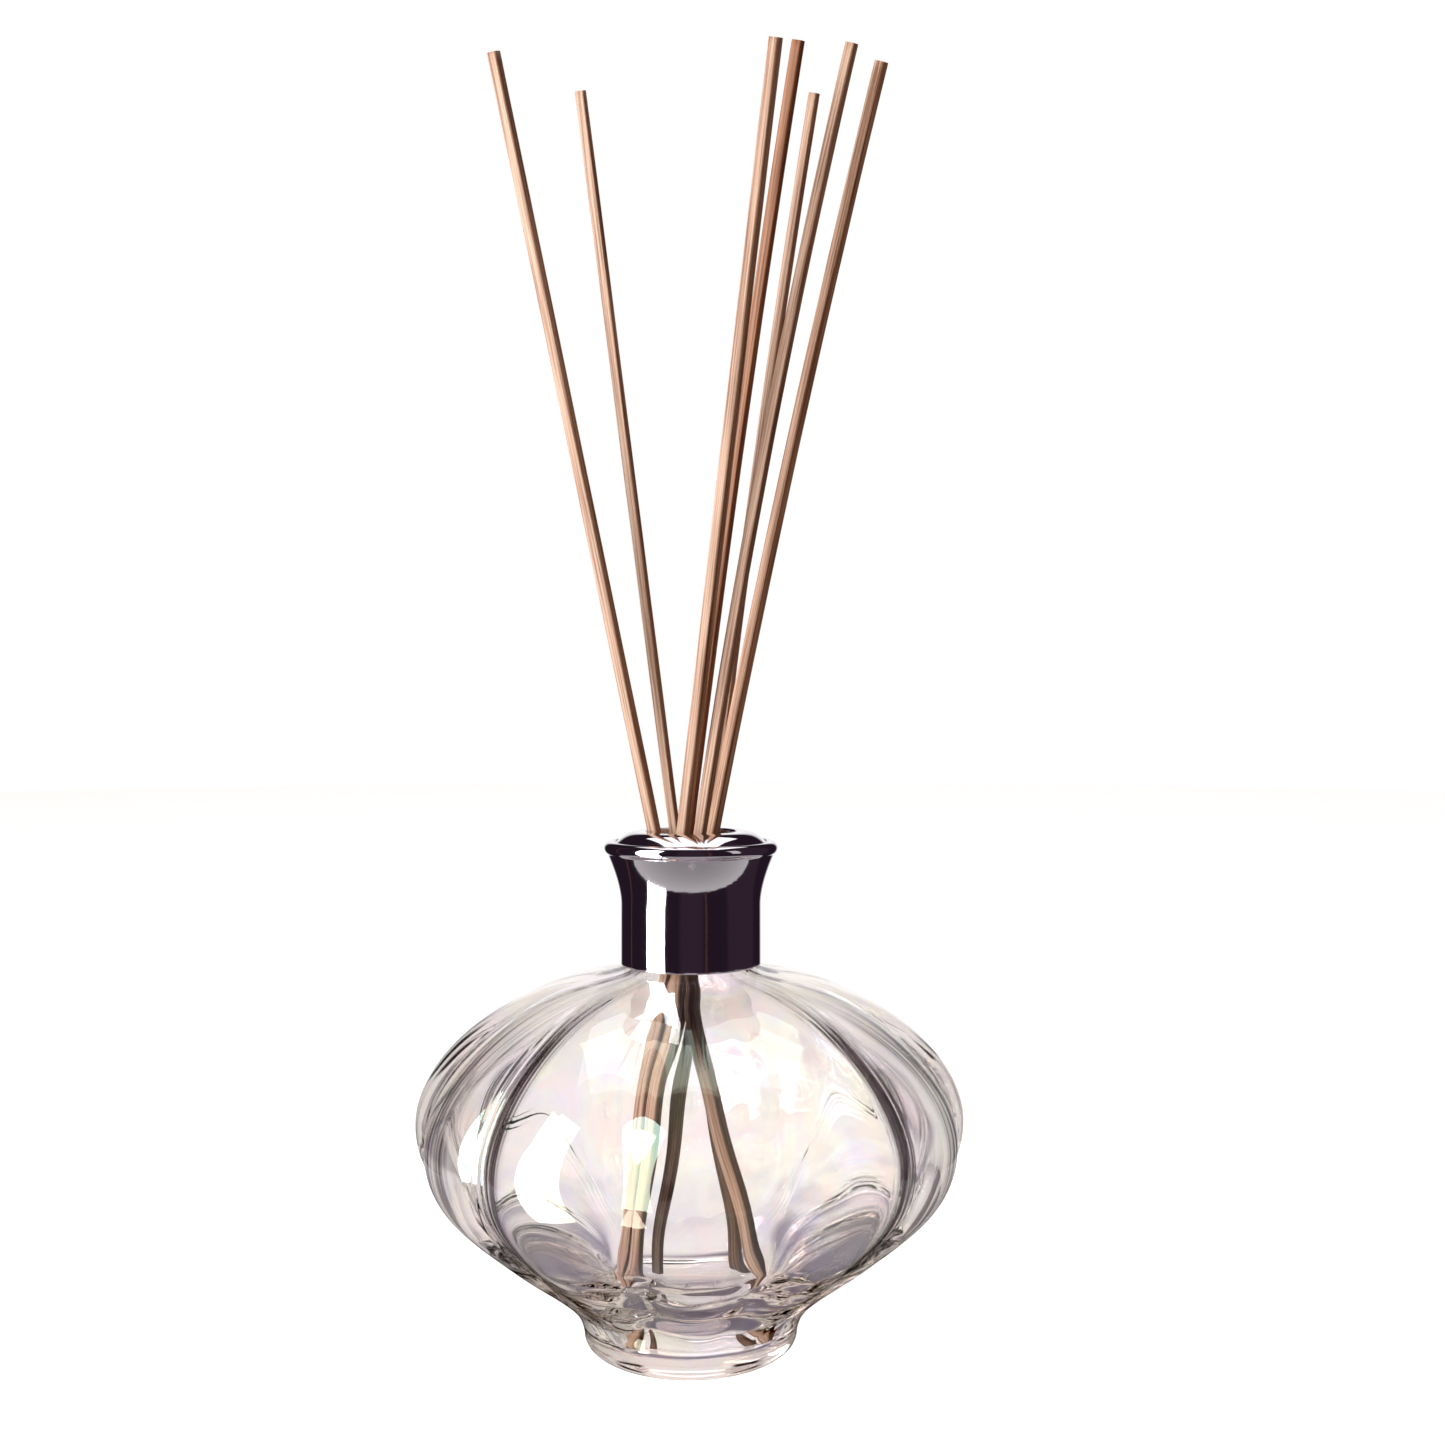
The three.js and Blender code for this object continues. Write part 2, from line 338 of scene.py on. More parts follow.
def wave(angle, radius, z):
    """Slow unevenness of the inside of blown glass."""
    place = Vector((radius * math.sin(angle), radius * math.cos(angle), z * WAVE_SQUEEZE))
    return WAVE_HEIGHT * noise.noise(place / WAVE_LENGTH)


def crumple(angle, radius, z):
    """The lumpy ring where the inside turns in from the belly to the foot."""
    low, full, still, high = CRUMPLE_HEIGHTS
    share = smooth_rise(low, full, z) * (1 - smooth_rise(still, high, z))
    place = Vector((radius * math.sin(angle), radius * math.cos(angle), z * CRUMPLE_SQUEEZE))
    return CRUMPLE_HEIGHT * share * noise.noise(place / CRUMPLE_LENGTH)


def outside_radius(radius, angle, z):
    return radius - flute_fade(z) * (FLUTE_DEPTH * groove(angle) + ripple(angle, radius))


def inside_radius(radius, angle, z):
    corner = math.cos(4 * (angle + FLUTE_TURN - POCKET_TURN))
    square = 1 + SQUARENESS * (1 - smooth_rise(*POCKET_FADE, z)) * corner
    share = FLANK_SHARE + (INNER_SHARE - FLANK_SHARE) * math.cos(angle) ** FRONT_POWER
    dip = FLUTE_DEPTH * share * flute_fade(z) * groove(angle)
    uneven = flute_fade(z) * (ripple(angle, radius) + wave(angle, radius, z))
    return radius * square - dip + uneven + crumple(angle, radius, z)


def bottle_columns():
    """Angles round the bottle, crowded together at the grooves."""
    angles = []
    for j in range(BOTTLE_SEGMENTS):
        even = 2 * math.pi * j / BOTTLE_SEGMENTS
        angles.append(even + GROOVE_CROWDING / FLUTES * math.sin(FLUTES * even))
    return angles


def make_bottle(material):
    """The glass; its flow attribute holds the way round, the height and the painted shade's
    darkness.
    """
    outside = [(r, z, outside_radius) for r, z in bottle_outside()]
    inside = [(r, z, inside_radius) for r, z in bottle_inside()]
    columns = bottle_columns()
    points, flow = [], []
    for radius, z, shaped in outside + inside:
        for angle in columns:
            r = shaped(radius, angle, z)
            turned_angle = angle + FLUTE_TURN
            points.append((r * math.sin(turned_angle), -r * math.cos(turned_angle), z))
            flow.append((BODY_R * turned_angle, z, painted_shade_band(turned_angle, radius, z)))
    count = len(columns)
    rings = len(outside) + len(inside)
    faces = ring_faces(rings, count, closed=False)
    base_middle = len(points)
    points += [(0, 0, 0), (0, 0, FLOOR_Z)]
    flow += [(0, 0, 0), (0, FLOOR_Z, 0)]
    last = (rings - 1) * count
    for j in range(count):
        k = (j + 1) % count
        faces.append((base_middle, k, j))
        faces.append((base_middle + 1, last + j, last + k))
    bottle = new_piece("glass_bottle", points, faces, material, "bottle")
    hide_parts("bottle")
    bottle.visible_shadow = False
    attribute = bottle.data.attributes.new("flow", "FLOAT_VECTOR", "POINT")
    attribute.data.foreach_set("vector", [c for place in flow for c in place])


# ---------------------------------------------------------------- collar

def make_collar_shell(material):
    bead = arc(BEAD_AT, BEAD_R, BEAD_START, BEAD_END, 26)
    flare_r, flare_top = bead[0]
    inner_r = LEDGE_R - LEDGE_WIDTH
    low_r = COLLAR_BORE_R + COLLAR_CHAMFER
    chamfer_z = COLLAR_Z + COLLAR_CHAMFER
    edge_r = COLLAR_R - COLLAR_EDGE
    edge_z = COLLAR_Z + COLLAR_EDGE
    profile = joined(
        line((COLLAR_BORE_R, chamfer_z), (low_r, COLLAR_Z), 1),
        line((low_r, COLLAR_Z), (edge_r, COLLAR_Z), 1),
        arc((edge_r, edge_z), COLLAR_EDGE, -90, 0, 5),
        line((COLLAR_R, edge_z), (COLLAR_R, FLARE_Z), 10),
        bezier((COLLAR_R, FLARE_Z), (COLLAR_R, FLARE_Z + 4.5), (flare_r - 0.9, flare_top - 2.2),
               (flare_r, flare_top), 26),
        bead,
        line((LEDGE_R, LEDGE_Z), (inner_r, LEDGE_Z), 1),
        line((inner_r, LEDGE_Z), (inner_r, flare_top), 1),
        bezier((inner_r, flare_top), (inner_r - 0.4, flare_top - 3),
               (COLLAR_BORE_R, FLARE_Z + 4), (COLLAR_BORE_R, FLARE_Z), 12),
        line((COLLAR_BORE_R, FLARE_Z), (COLLAR_BORE_R, chamfer_z), 4))
    points, faces = turned(profile[:-1], RING_SEGMENTS)
    shell = new_piece("flared_collar", points, faces, material, "collar")
    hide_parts("collar_shell")


def make_collar_plate(material):
    rim_r = LEDGE_R - GAP
    rim_z = LEDGE_Z + GAP
    low_z = LAND_Z - EYELET_DROP
    under_z = LAND_Z - PLATE_T
    edge = PLATE_T / 2
    profile = joined(
        arc((HOLE_R + edge, low_z + edge), edge, -180, 0, 8),
        line((HOLE_R + PLATE_T, low_z + edge), (HOLE_R + PLATE_T, under_z), 2),
        line((HOLE_R + PLATE_T, under_z), (LAND_R, under_z), 2),
        bend((LAND_R, under_z), (LAND_R + 2.4, under_z), (rim_r, rim_z), 12),
        line((rim_r, rim_z), (rim_r, rim_z + PLATE_T), 2),
        bend((rim_r, rim_z + PLATE_T), (LAND_R + 2.6, LAND_Z), (LAND_R, LAND_Z), 14),
        line((LAND_R, LAND_Z), (HOLE_R + EYELET_ROUND, LAND_Z), 2),
        arc((HOLE_R + EYELET_ROUND, LAND_Z - EYELET_ROUND), EYELET_ROUND, 90, 180, 7),
        line((HOLE_R, LAND_Z - EYELET_ROUND), (HOLE_R, low_z + edge), 2))
    points, faces = turned(profile[:-1], RING_SEGMENTS)
    plate = new_piece("collar_plate", points, faces, material, "collar")
    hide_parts("collar_top_plate")


def make_neck_sleeve(material):
    """A moulded sleeve whose outside is grooved, so that it springs as the collar goes over it."""
    def grooved(radius, height, angle):
        outer = radius > SLEEVE_R - 0.1 and SLEEVE_Z + 1 < height < FLANGE_TOP - 2
        cut = max(0, math.cos(SLEEVE_GROOVES * angle)) ** 4 if outer else 0
        return radius - SLEEVE_GROOVE_DEPTH * cut

    profile = joined(
        line((SLEEVE_BORE_R, SLEEVE_Z + SLEEVE_LEAD_IN), (SLEEVE_BORE_R + 0.5, SLEEVE_Z + 0.1), 2),
        arc((SLEEVE_BORE_R + 0.65, SLEEVE_Z + SLEEVE_EDGE), SLEEVE_EDGE, -150, -90, 3),
        arc((SLEEVE_R - SLEEVE_EDGE, SLEEVE_Z + SLEEVE_EDGE), SLEEVE_EDGE, -90, 0, 4),
        line((SLEEVE_R, SLEEVE_Z + 0.3), (SLEEVE_R, FLANGE_TOP - SLEEVE_ROUND), 24),
        arc((SLEEVE_R - SLEEVE_ROUND, FLANGE_TOP - SLEEVE_ROUND), SLEEVE_ROUND, 0, 90, 6),
        arc((NECK_BORE_R + FLANGE_EDGE, FLANGE_TOP - FLANGE_EDGE), FLANGE_EDGE, 90, 180, 4),
        line((NECK_BORE_R, FLANGE_TOP - FLANGE_EDGE), (NECK_BORE_R, FLANGE_Z), 1),
        line((NECK_BORE_R, FLANGE_Z), (SLEEVE_BORE_R, FLANGE_Z), 3),
        line((SLEEVE_BORE_R, FLANGE_Z), (SLEEVE_BORE_R, SLEEVE_Z + SLEEVE_LEAD_IN), 6))
    points, faces = turned(profile[:-1], RING_SEGMENTS * 2, grooved)
    sleeve = new_piece("neck_liner", points, faces, material, "collar")
    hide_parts("neck_sleeve")


def make_lip_seal(material):
    half = SEAL_T / 2
    width = NECK_R - NECK_BORE_R
    profile = joined(
        arc((NECK_BORE_R + half, SEAL_Z + half), half, 90, 270, 8),
        line((NECK_BORE_R + half, SEAL_Z), (NECK_BORE_R + width - half, SEAL_Z), 1),
        arc((NECK_R - half, SEAL_Z + half), half, -90, 90, 8),
        line((NECK_R - half, SEAL_Z + SEAL_T), (NECK_BORE_R + half, SEAL_Z + SEAL_T), 1))
    points, faces = turned(profile[:-1], RING_SEGMENTS)
    seal = new_piece("foam_seal", points, faces, material, "collar")
    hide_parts("lip_seal")


# ---------------------------------------------------------------- reeds

def reed_section(thick, turn):
    """A rounded square with flat split faces: (x, y) points, turned by degrees."""
    half = REED_TRIM * thick / 2
    corner = half * REED_CORNER
    flat = half - corner
    outline = []
    for side in range(4):
        start = 90 * side
        along = math.radians(start + 90)
        away = math.radians(start)
        for i in range(REED_SIDE_POINTS):
            slide = flat * (2 * i / REED_SIDE_POINTS - 1)
            outline.append((half * math.cos(away) + slide * math.cos(along),
                            half * math.sin(away) + slide * math.sin(along)))
        middle = (flat * (math.cos(away) + math.cos(along)),
                  flat * (math.sin(away) + math.sin(along)))
        outline += arc(middle, corner, start, start + 90, REED_CORNER_POINTS)[:-1]
    c, s = math.cos(math.radians(turn)), math.sin(math.radians(turn))
    return [(x * c - y * s, x * s + y * c) for x, y in outline]


def reed_line(reed):
    """Centre line as a function of t from the foot to the top."""
    foot = Vector((*reed["foot"], REED_Z))
    reach = math.dist(reed["foot"], reed["top"])
    top = Vector((*reed["top"], REED_Z + math.sqrt(reed["length"] ** 2 - reach ** 2)))

    def at(t):
        return foot.lerp(top, t) + Vector((4 * reed["bow"] * t * (1 - t), 0, 0))
    return at


def make_reed(number, reed, turn, tone):
    """A split bamboo stick, cut square at its foot and aslant at its top."""
    section = reed_section(reed["thick"], turn)
    at = reed_line(reed)
    girth = [0.0]
    for a, b in zip(section, section[1:]):
        girth.append(girth[-1] + math.dist(a, b))
    last = REED_STEPS + 2
    points, grain = [], []
    for i in range(last + 1):
        t = min(1, max(0, (i - 1) / REED_STEPS))
        shrink = END_SHRINK if i in (0, last) else 1.0
        ahead = (at(min(1, t + 0.01)) - at(max(0, t - 0.01))).normalized()
        across = Vector((1, 0, 0)) - ahead * ahead.x
        across.normalize()
        depth = ahead.cross(across)
        inset = END_INSET if 0 < i < last and t in (0, 1) else 0
        centre = at(t) + ahead * inset * (1 if t == 0 else -1)
        for (x, y), around in zip(section, girth):
            spot = (x * ROUGH_ACROSS, y * ROUGH_ACROSS, t * ROUGH_ALONG + number * ROUGH_SHIFT)
            swell = shrink * (1 + REED_ROUGH * noise.noise(Vector(spot)))
            slant = ahead * END_SLANT * y if t == 1 else Vector()
            points.append(tuple(centre + across * x * swell + depth * y * swell + slant))
            grain.append((around, t * reed["length"], number * GRAIN_SHIFT))
    count = len(section)
    faces = ring_faces(last + 1, count, closed=False)
    faces.append(tuple(reversed(range(count))))
    faces.append(tuple(range(last * count, (last + 1) * count)))
    material = bamboo(number, tone)
    piece = new_piece(f"bamboo_{number}", points, faces, material, f"reed_{number}")
    attribute = piece.data.attributes.new("grain", "FLOAT_VECTOR", "POINT")
    attribute.data.foreach_set("vector", [c for place in grain for c in place])
    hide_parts(f"reed_{number}")


# ---------------------------------------------------------------- materials

# Where a mix node keeps its factor, its two colours and its colour result.
MIX_INPUTS = (0, 6, 7)
MIX_RESULT = 2

# Glass: noise scales per metre, the lustre film's thickness in nanometres, the tint inside, and
# the colours of the clear glass, the painted shade bands and the drifting lustre.
SHEEN_SCALE = 75
DRIFT_SCALE = 26
FILM_THICKNESS = (340, 560)
FILM_IOR = 1.56
GLASS_IOR = 1.5
TINT_DENSITY = 24.0
TINT = (0.82, 0.77, 0.74)
CLEAR = (0.99, 0.98, 0.98)
PAINTED_SHADE_COLOUR = (0.04, 0.025, 0.03)
PASTELS = [
    (0.32, (1, 0.93, 0.93)), (0.42, (1, 0.97, 0.92)), (0.50, (0.97, 0.99, 0.95)),
    (0.58, (0.95, 0.95, 1)), (0.68, (1, 0.93, 0.95))]

CHROME_COLOUR = (0.78, 0.73, 0.78)


def new_material(name):
    """A material and its node tree, Principled node and output node."""
    material = bpy.data.materials.new(name)
    material.use_nodes = True
    tree = material.node_tree
    return material, tree, tree.nodes["Principled BSDF"], tree.nodes["Material Output"]


def node(tree, kind, **settings):
    """A new node; settings that name an input set that input's value, others a property."""
    made = tree.nodes.new(kind)
    for name, value in settings.items():
        label = name.replace("_", " ").title()
        if label in made.inputs:
            made.inputs[label].default_value = value
        else:
            setattr(made, name, value)
    return made


def ramp(tree, value, stops):
    """A colour ramp fed by value, with (position, colour) stops."""
    made = tree.nodes.new("ShaderNodeValToRGB")
    elements = made.color_ramp.elements
    while len(elements) < len(stops):
        elements.new(0.5)
    for element, (position, colour) in zip(elements, stops):
        element.position = position
        element.color = (*colour, 1)
    tree.links.new(value, made.inputs["Fac"])
    return made.outputs["Color"]


def scaled(tree, vector, scale):
    """A vector with each axis multiplied."""
    made = node(tree, "ShaderNodeMapping", vector_type="POINT")
    made.inputs["Scale"].default_value = scale
    tree.links.new(vector, made.inputs["Vector"])
    return made.outputs["Vector"]


def noise_at(tree, vector, scale, detail):
    made = node(tree, "ShaderNodeTexNoise", scale=scale, detail=detail)
    tree.links.new(vector, made.inputs["Vector"])
    return made.outputs["Fac"]


def remap(tree, value, low, high):
    """A value from 0 to 1 spread over low to high."""
    made = tree.nodes.new("ShaderNodeMapRange")
    made.inputs["To Min"].default_value = low
    made.inputs["To Max"].default_value = high
    tree.links.new(value, made.inputs["Value"])
    return made.outputs["Result"]


def bump(tree, height, strength, distance, shader):
    made = node(tree, "ShaderNodeBump", strength=strength, distance=distance)
    tree.links.new(height, made.inputs["Height"])
    tree.links.new(made.outputs["Normal"], shader.inputs["Normal"])


def mixed(tree, blend, factor, first, second):
    """Two colours mixed; each of the three is a socket or a plain value."""
    made = node(tree, "ShaderNodeMix", data_type="RGBA", blend_type=blend)
    for place, value in zip(MIX_INPUTS, (factor, first, second)):
        if isinstance(value, tuple):
            made.inputs[place].default_value = (*value, 1)
        elif isinstance(value, float):
            made.inputs[place].default_value = value
        else:
            tree.links.new(value, made.inputs[place])
    return made.outputs[MIX_RESULT]


def position(tree):
    """Where a point lies on its piece, in metres."""
    return tree.nodes.new("ShaderNodeTexCoord").outputs["Object"]


def lustre_glass():
    """Clear glass with a thin lustre film, whose thickness drifts, a faint warm tint inside, and
    bands of painted shade down the front flanks.
    """
    material, tree, shader, output = new_material("lustre_glass")
    flow = node(tree, "ShaderNodeAttribute", attribute_name="flow").outputs["Vector"]
    band = tree.nodes.new("ShaderNodeSeparateXYZ")
    tree.links.new(flow, band.inputs[0])
    # Painted shade: striped dark bands down the front flanks stand in for the glass's dark
    # refractions.
    lines = ramp(tree, noise_at(tree, scaled(tree, flow, (0.9, 0.02, 0)), 1.0, 4), [
        (0.40, (0.35, 0.35, 0.35)), (0.54, (1, 1, 1))])
    painted_shade = mixed(tree, "MULTIPLY", 1.0, band.outputs["Z"], lines)
    clear = ramp(tree, painted_shade, [(0.0, CLEAR), (1.0, PAINTED_SHADE_COLOUR)])
    sheen = noise_at(tree, scaled(tree, position(tree), (1, 1, 0.55)), SHEEN_SCALE, 3)
    pastel = ramp(tree, sheen, PASTELS)
    tree.links.new(mixed(tree, "MULTIPLY", 1.0, clear, pastel), shader.inputs["Base Color"])
    shader.inputs["Roughness"].default_value = 0.0
    shader.inputs["IOR"].default_value = GLASS_IOR
    shader.inputs["Transmission Weight"].default_value = 1.0
    shader.inputs["Thin Film IOR"].default_value = FILM_IOR
    drift = noise_at(tree, scaled(tree, position(tree), (1, 1, 1.6)), DRIFT_SCALE, 2)
    tree.links.new(remap(tree, drift, *FILM_THICKNESS), shader.inputs["Thin Film Thickness"])
    tint = node(tree, "ShaderNodeVolumeAbsorption", density=TINT_DENSITY)
    tint.inputs["Color"].default_value = (*TINT, 1)
    tree.links.new(tint.outputs["Volume"], output.inputs["Volume"])
    return material


def chrome():
    """Mirror chrome with a cool purple cast and the slight haze of handling."""
    material, tree, shader, _ = new_material("chrome")
    shader.inputs["Base Color"].default_value = (*CHROME_COLOUR, 1)
    shader.inputs["Metallic"].default_value = 1.0
    haze = noise_at(tree, position(tree), 90, 5)
    tree.links.new(remap(tree, haze, 0.02, 0.09), shader.inputs["Roughness"])
    grain = noise_at(tree, position(tree), 900, 3)
    bump(tree, grain, 0.06, 0.0001, shader)
    return material


def moulded_liner():
    material, tree, shader, _ = new_material("moulded_liner")
    tone = noise_at(tree, position(tree), 60, 4)
    tree.links.new(ramp(tree, tone, [(0.3, (0.10, 0.05, 0.035)), (0.7, (0.15, 0.08, 0.055))]),
                   shader.inputs["Base Color"])
    grain = noise_at(tree, position(tree), 1400, 4)
    tree.links.new(remap(tree, grain, 0.36, 0.52), shader.inputs["Roughness"])
    bump(tree, grain, 0.15, 0.0001, shader)
    return material


def foam_seal():
    material, tree, shader, _ = new_material("foam_seal")
    cells = node(tree, "ShaderNodeTexVoronoi", scale=2600.0)
    tree.links.new(position(tree), cells.inputs["Vector"])
    tone = ramp(tree, cells.outputs["Distance"], [
        (0.0, (0.66, 0.64, 0.6)), (0.5, (0.86, 0.84, 0.8))])
    tree.links.new(tone, shader.inputs["Base Color"])
    shader.inputs["Roughness"].default_value = 0.75
    bump(tree, cells.outputs["Distance"], 0.5, 0.0002, shader)
    return material


def tinted(colour, tone):
    return tuple(a * b for a, b in zip(colour, tone))


def bamboo(number, tone):
    """Split bamboo: long fibres, a few dark stains and slow changes of tone along the stick."""
    material, tree, shader, _ = new_material(f"bamboo_{number}")
    place = node(tree, "ShaderNodeAttribute", attribute_name="grain").outputs["Vector"]
    fibre = noise_at(tree, scaled(tree, place, (2.6, 0.035, 1)), 1.0, 8)
    stain = noise_at(tree, scaled(tree, place, (0.9, 0.012, 1)), 1.0, 3)
    colour = ramp(tree, fibre, [
        (0.34, tinted((0.26, 0.125, 0.075), tone)), (0.45, tinted((0.47, 0.28, 0.185), tone)),
        (0.56, tinted((0.64, 0.44, 0.32), tone)), (0.72, tinted((0.74, 0.56, 0.43), tone))])
    shade = ramp(tree, stain, [(0.34, (0.60, 0.48, 0.40)), (0.50, (1, 1, 1))])
    tree.links.new(mixed(tree, "MULTIPLY", 1.0, colour, shade), shader.inputs["Base Color"])
    tree.links.new(remap(tree, fibre, 0.48, 0.7), shader.inputs["Roughness"])
    bump(tree, fibre, 0.35, 0.0003, shader)
    return material


# ---------------------------------------------------------------- studio

# The camera: its lens and sensor are in millimetres.
CAMERA_AT = (0.0073, -0.330, 0.1421)
CAMERA_LENS = 35.4
SENSOR_WIDTH = 36.0
CLIP_START = 0.01

# The two floors, with the grey and the glow of each. The table's glow starts below zero, so that
# its middle stays dark: a painted shadow under the bottle.
FLOOR_RADIUS = 3.0
FLOOR_Z_METRES = -0.0004
FLOOR_SHEET = (0.6, 0.9)
TABLE_RADIUS = 0.17
TABLE_Z_METRES = -0.0006
TABLE_SHEET = (0.08, (-0.25, 0.5))
DISC_SIDES = 96

# Softboxes: name, azimuth in degrees from the front, distance, height, size and watts.
LIGHTS = [
    ("key_softbox", -58, 0.75, 0.10, (0.43, 1.7), 26),
    ("fill_softbox", 62, 1.2, 0.5, (0.3, 0.9), 0.5),
    ("top_softbox", 180, 0.35, 1.3, (1.1, 1.1), 6)]
LIGHT_AIM = (0, 0, 0.12)
BOUNCES = 24
GLOSSY_BOUNCES = 12

# Colours of the surroundings, and how bright they are for each kind of ray.
WHITE = (1.0, 0.97, 0.95)
ROOM_COLOUR = (0.018, 0.010, 0.018)
FLAG_COLOUR = (0.022, 0.015, 0.019)
SIDE_COLOUR = (0.80, 0.77, 0.77)
RIM_COLOUR = (0.45, 0.41, 0.43)
DUSK_COLOUR = (0.28, 0.26, 0.32)
DIM_COLOUR = (0.82, 0.79, 0.82)
HAZE_COLOUR = (0.98, 0.96, 0.96)
AMBIENT = (1.0, 0.64, 0.46)
AMBIENT_STRENGTH = 0.19
THROUGH_STRENGTH = 1.14
SHADE_COLOUR = (0.033, 0.019, 0.031)
WARM_EDGE = (0.11, 0.045, 0.038)
# What the chrome mirrors all round: azimuths in degrees from the front, and colours.
ROOM = [
    (-180, ROOM_COLOUR), (-114, ROOM_COLOUR), (-112, WARM_EDGE), (-110, ROOM_COLOUR),
    (-20, ROOM_COLOUR), (-14, SHADE_COLOUR), (18, SHADE_COLOUR), (24, ROOM_COLOUR), (26, WARM_EDGE),
    (28, ROOM_COLOUR), (60, ROOM_COLOUR), (66, SHADE_COLOUR), (120, SHADE_COLOUR),
    (126, ROOM_COLOUR)]

# Stops by how far a ray leans sideways, by its height from 0 to 1, and by how far it runs back.
BACKDROP_STOPS = [
    (0.24, WHITE), (0.44, SIDE_COLOUR), (0.74, SIDE_COLOUR), (0.79, RIM_COLOUR),
    (0.87, RIM_COLOUR), (0.94, SIDE_COLOUR)]
FLAG_STOPS = [
    (0.25, (0, 0, 0)), (0.29, (1, 1, 1)), (0.43, (1, 1, 1)), (0.50, (0, 0, 0))]
FLAG_HEIGHT_STOPS = [
    (0.36, (0, 0, 0)), (0.395, (1, 1, 1)), (0.53, (1, 1, 1)), (0.61, (0, 0, 0))]
BEHIND_STOPS = [(0.88, (0, 0, 0)), (0.95, (1, 1, 1))]
HEIGHT_STOPS = [
    (0.19, DUSK_COLOUR), (0.25, DIM_COLOUR), (0.31, HAZE_COLOUR), (0.36, (1, 1, 1)),
    (0.53, (1, 1, 1)), (0.62, HAZE_COLOUR)]


def make_camera():
    """A level view from a little above the collar, quite near."""
    data = bpy.data.cameras.new("camera")
    data.lens = CAMERA_LENS
    data.sensor_width = SENSOR_WIDTH
    data.clip_start = CLIP_START
    camera = bpy.data.objects.new("camera", data)
    camera.location = CAMERA_AT
    camera.rotation_euler = (math.pi / 2, 0, 0)
    bpy.context.scene.collection.objects.link(camera)
    bpy.context.scene.camera = camera


def make_softbox(name, azimuth, distance, height, size, watts):
    """A rectangular light turned to the object; its azimuth is in degrees from the front."""
    data = bpy.data.lights.new(name, "AREA")
    data.shape = "RECTANGLE"
    data.size, data.size_y = size
    data.energy = watts
    light = bpy.data.objects.new(name, data)
    turn = math.radians(azimuth)
    place = Vector((distance * math.sin(turn), -distance * math.cos(turn), height))
    light.location = place
    light.rotation_euler = (Vector(LIGHT_AIM) - place).to_track_quat("-Z", "Y").to_euler()
    bpy.context.scene.collection.objects.link(light)


def make_disc(name, radius, height, material):
    """A flat round sheet that lies on the ground and isn't part of the object."""
    turns = [2 * math.pi * i / DISC_SIDES for i in range(DISC_SIDES)]
    rim = [(radius * math.cos(t), radius * math.sin(t), 0) for t in turns]
    mesh = bpy.data.meshes.new(name)
    mesh.from_pydata(rim, [], [range(DISC_SIDES)])
    mesh.materials.append(material)
    disc = bpy.data.objects.new(name, mesh)
    disc.location.z = height
    bpy.context.scene.collection.objects.link(disc)
    return disc


def pale_sheet(name, grey, glow):
    """A matt sheet that glows; glow is one strength, or a pair for the middle and the edge."""
    material, tree, shader, _ = new_material(name)
    shader.inputs["Base Color"].default_value = (grey, grey, grey, 1)
    shader.inputs["Roughness"].default_value = 0.8
    shader.inputs["Emission Color"].default_value = (1, 1, 1, 1)
    if isinstance(glow, tuple):
        # A pair paints a shadow: the glow is weakest in the middle.
        gradient = tree.nodes.new("ShaderNodeTexGradient")
        gradient.gradient_type = "SPHERICAL"
        place = scaled(tree, position(tree), (1 / TABLE_RADIUS,) * 3)
        tree.links.new(place, gradient.inputs["Vector"])
        nearness = gradient.outputs["Fac"]
        tree.links.new(remap(tree, nearness, glow[1], glow[0]), shader.inputs["Emission Strength"])
    else:
        shader.inputs["Emission Strength"].default_value = glow
    return material


def make_floor():
    """A pale floor for the eye, and a smaller, dimmer one that the glass and the chrome mirror;
    the dimmer one's dark middle is a painted shadow.
    """
    pale = pale_sheet("pale_floor", *FLOOR_SHEET)
    floor = make_disc("floor", FLOOR_RADIUS, FLOOR_Z_METRES, pale)
    floor.visible_glossy = False
    dim = pale_sheet("dim_floor", *TABLE_SHEET)
    mirrored = make_disc("mirrored_floor", TABLE_RADIUS, TABLE_Z_METRES, dim)
    mirrored.visible_camera = False
    for disc in (floor, mirrored):
        disc.visible_transmission = False
        disc.visible_diffuse = False


def math_node(tree, operation, *values):
    made = node(tree, "ShaderNodeMath", operation=operation)
    for socket, value in zip(made.inputs, values):
        if isinstance(value, (int, float)):
            socket.default_value = value
        else:
            tree.links.new(value, socket)
    return made.outputs[0]


def behind_glass(tree, sideways, upward):
    """What the glass shows through itself: a white backdrop, dimmer low and high, with a dark flag
    hung on each side of it."""
    backdrop = ramp(tree, sideways, BACKDROP_STOPS)
    flags = ramp(tree, sideways, FLAG_STOPS)
    hung = ramp(tree, upward, FLAG_HEIGHT_STOPS)
    flagged = mixed(tree, "MULTIPLY", 1.0, flags, hung)
    height = ramp(tree, upward, HEIGHT_STOPS)
    bright = mixed(tree, "MULTIPLY", 1.0, backdrop, height)
    return mixed(tree, "MIX", flagged, bright, FLAG_COLOUR)


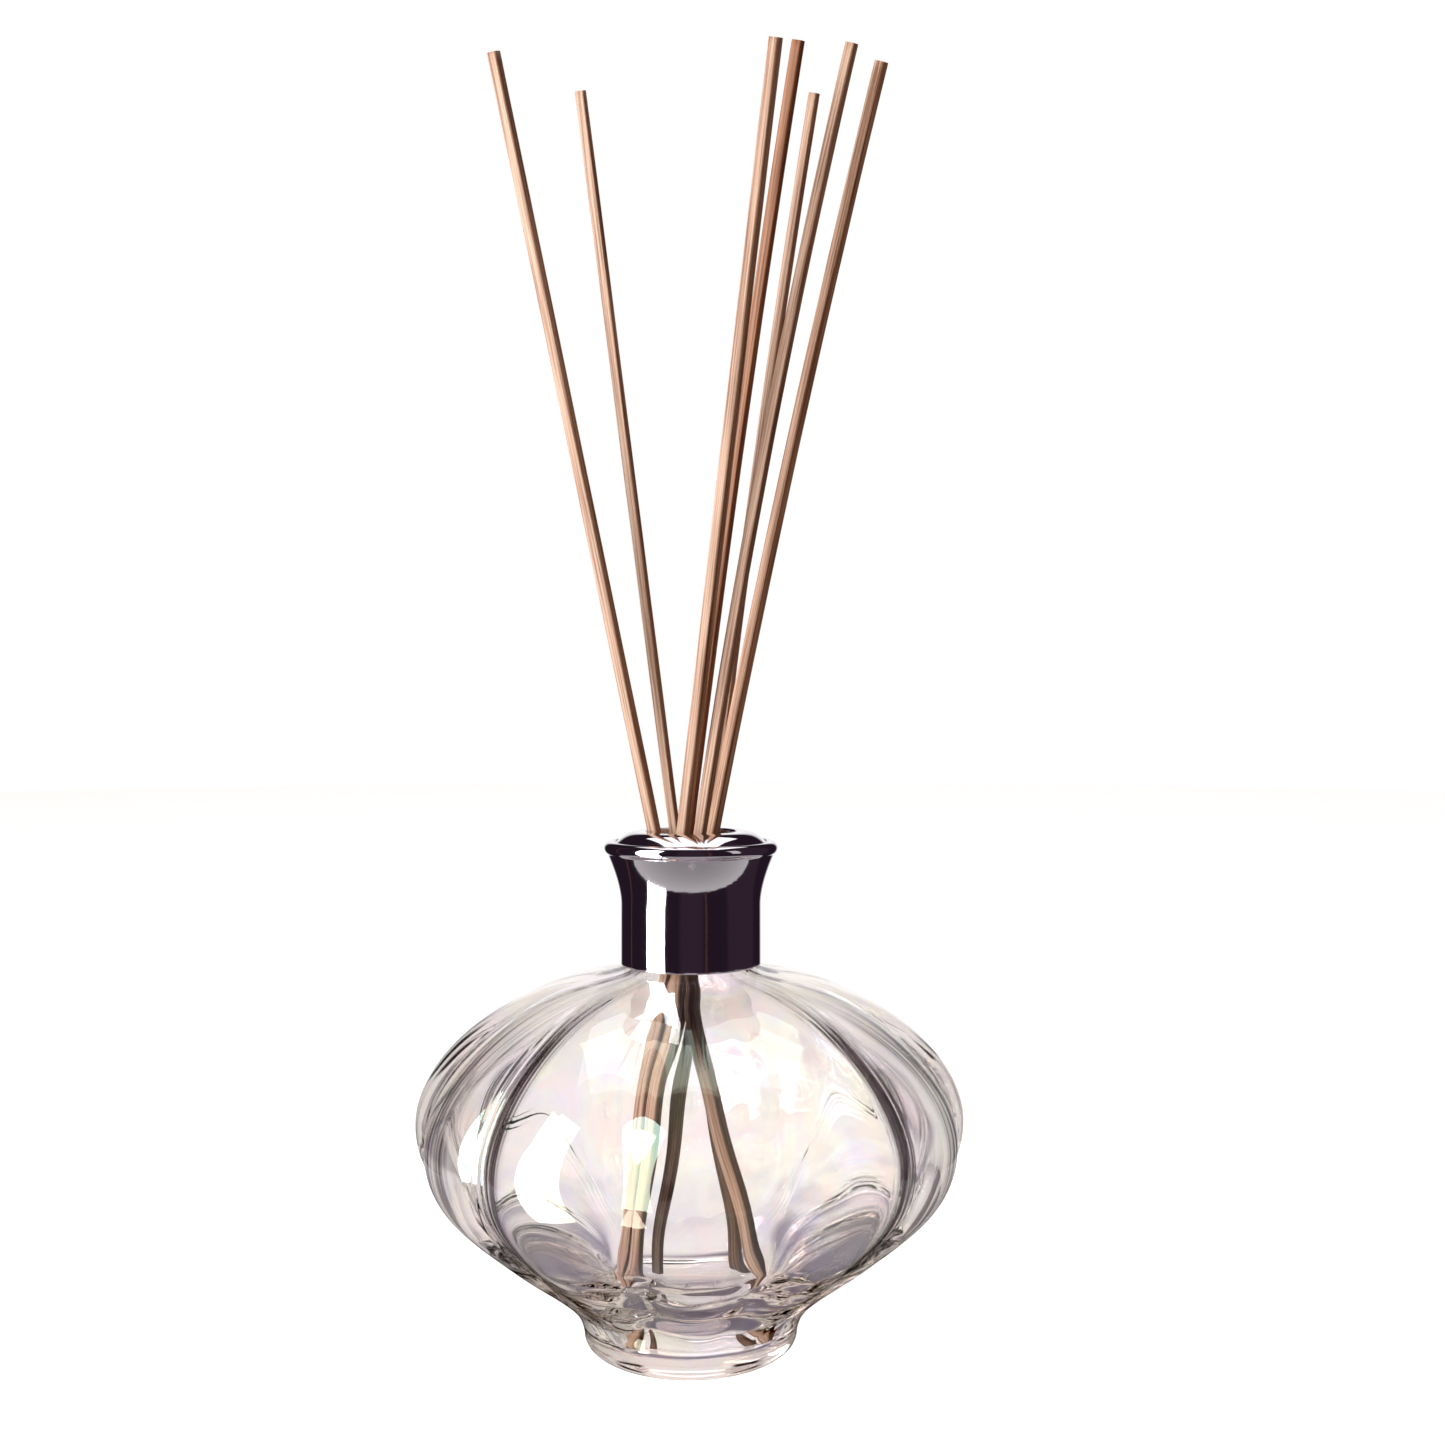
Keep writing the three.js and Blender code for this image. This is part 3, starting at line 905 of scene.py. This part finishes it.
def make_world():
    """A white backdrop for the camera, dark flags beside it that draw the edges of the glass, and
    a dark room in front for the chrome to mirror."""
    world = bpy.data.worlds.new("studio")
    bpy.context.scene.world = world
    world.use_nodes = True
    tree = world.node_tree
    tree.nodes.clear()
    direction = tree.nodes.new("ShaderNodeTexCoord").outputs["Generated"]
    axes = tree.nodes.new("ShaderNodeSeparateXYZ")
    tree.links.new(direction, axes.inputs[0])
    sideways = math_node(tree, "ABSOLUTE", axes.outputs["X"])
    upward = math_node(tree, "MULTIPLY_ADD", axes.outputs["Z"], 0.5, 0.5)
    through = behind_glass(tree, sideways, upward)
    forward = math_node(tree, "MULTIPLY", axes.outputs["Y"], -1)
    compass = math_node(tree, "ARCTAN2", axes.outputs["X"], forward)
    around = math_node(tree, "MULTIPLY_ADD", compass, 1 / (2 * math.pi), 0.5)
    room = ramp(tree, around, [(0.5 + azimuth / 360, colour) for azimuth, colour in ROOM])
    behind = ramp(tree, axes.outputs["Y"], BEHIND_STOPS)
    mirrored = mixed(tree, "MIX", behind, room, (1.0, 1.0, 1.0))
    light = tree.nodes.new("ShaderNodeLightPath")

    def background(colour, strength):
        made = node(tree, "ShaderNodeBackground")
        made.inputs["Strength"].default_value = strength
        if isinstance(colour, tuple):
            made.inputs["Color"].default_value = (*colour, 1)
        else:
            tree.links.new(colour, made.inputs["Color"])
        return made.outputs[0]

    def pick(switch, no, yes):
        made = tree.nodes.new("ShaderNodeMixShader")
        tree.links.new(light.outputs[switch], made.inputs[0])
        tree.links.new(no, made.inputs[1])
        tree.links.new(yes, made.inputs[2])
        return made.outputs[0]

    result = background(AMBIENT, AMBIENT_STRENGTH)
    result = pick("Is Glossy Ray", result, background(mirrored, 1.0))
    result = pick("Is Transmission Ray", result, background(through, THROUGH_STRENGTH))
    result = pick("Is Camera Ray", result, background((1, 1, 1), 1.0))
    output = tree.nodes.new("ShaderNodeOutputWorld")
    tree.links.new(result, output.inputs["Surface"])


def make_lights():
    for light in LIGHTS:
        make_softbox(*light)


def set_up_scene():
    scene = bpy.context.scene
    scene.view_settings.view_transform = "Standard"
    scene.cycles.max_bounces = BOUNCES
    scene.cycles.transmission_bounces = BOUNCES
    scene.cycles.glossy_bounces = GLOSSY_BOUNCES
    scene.cycles.caustics_refractive = False
    scene.cycles.caustics_reflective = False


set_up_scene()
make_camera()
make_world()
make_lights()
make_floor()
make_bottle(lustre_glass())
metal = chrome()
make_collar_shell(metal)
make_collar_plate(metal)
make_neck_sleeve(moulded_liner())
make_lip_seal(foam_seal())
for index, (reed, look) in enumerate(zip(REEDS, REED_LOOKS), start=1):
    make_reed(index, reed, *look)
